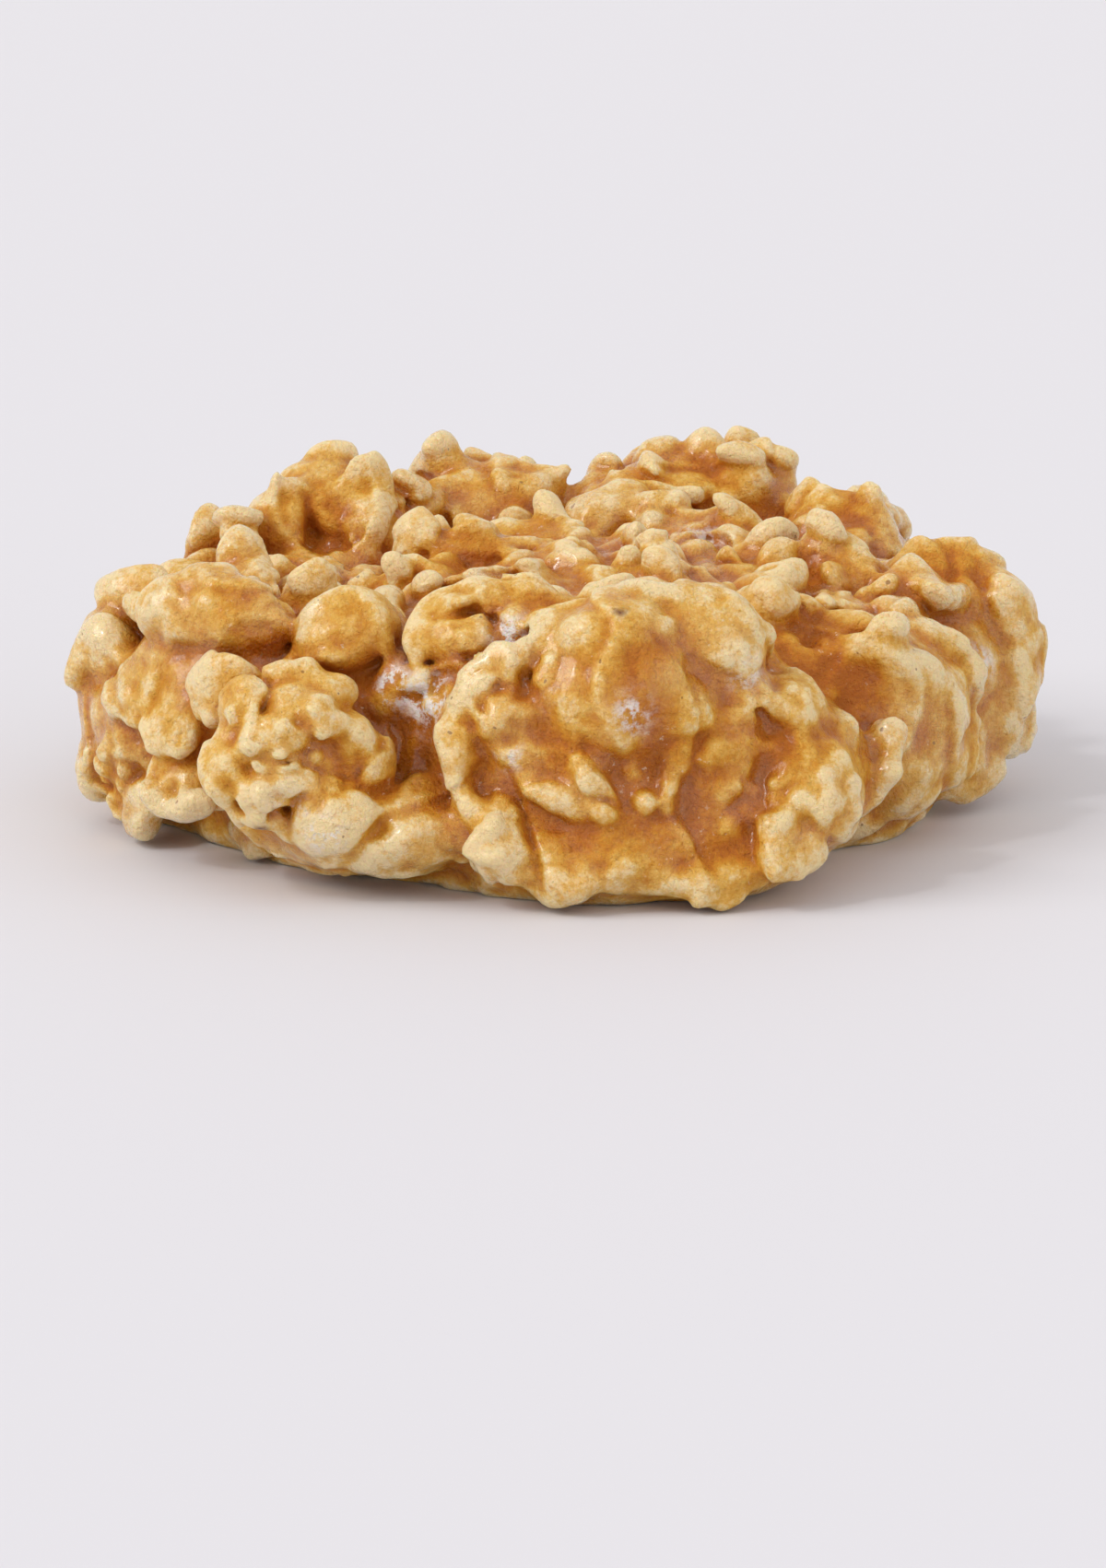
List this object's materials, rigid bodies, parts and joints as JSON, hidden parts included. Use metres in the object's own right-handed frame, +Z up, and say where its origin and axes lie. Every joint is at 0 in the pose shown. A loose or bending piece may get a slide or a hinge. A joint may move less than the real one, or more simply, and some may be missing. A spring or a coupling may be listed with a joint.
{
  "type": "no-bake oat cookie",
  "caption": "Lumpy drop cookie of rolled-oat flakes bound in peanut fudge, heaped in lobes with a flat underside.",
  "frame": {"origin": "centre of the flat underside's box, where the cookie rests", "axes": "+Z up; -Y is the side with the tall two-flake lump, which faces the picture's camera; +X is to the right in the picture"},
  "size_m": [0.0683, 0.0643, 0.0221],
  "materials": {
    "fudge_and_oats": "set fudge with a soft gloss, paler where oat edges stand out and darker orange in the hollows"
  },
  "bodies": {
    "root": {"cookie": "fudge_and_oats"}
  },
  "joints": []
}
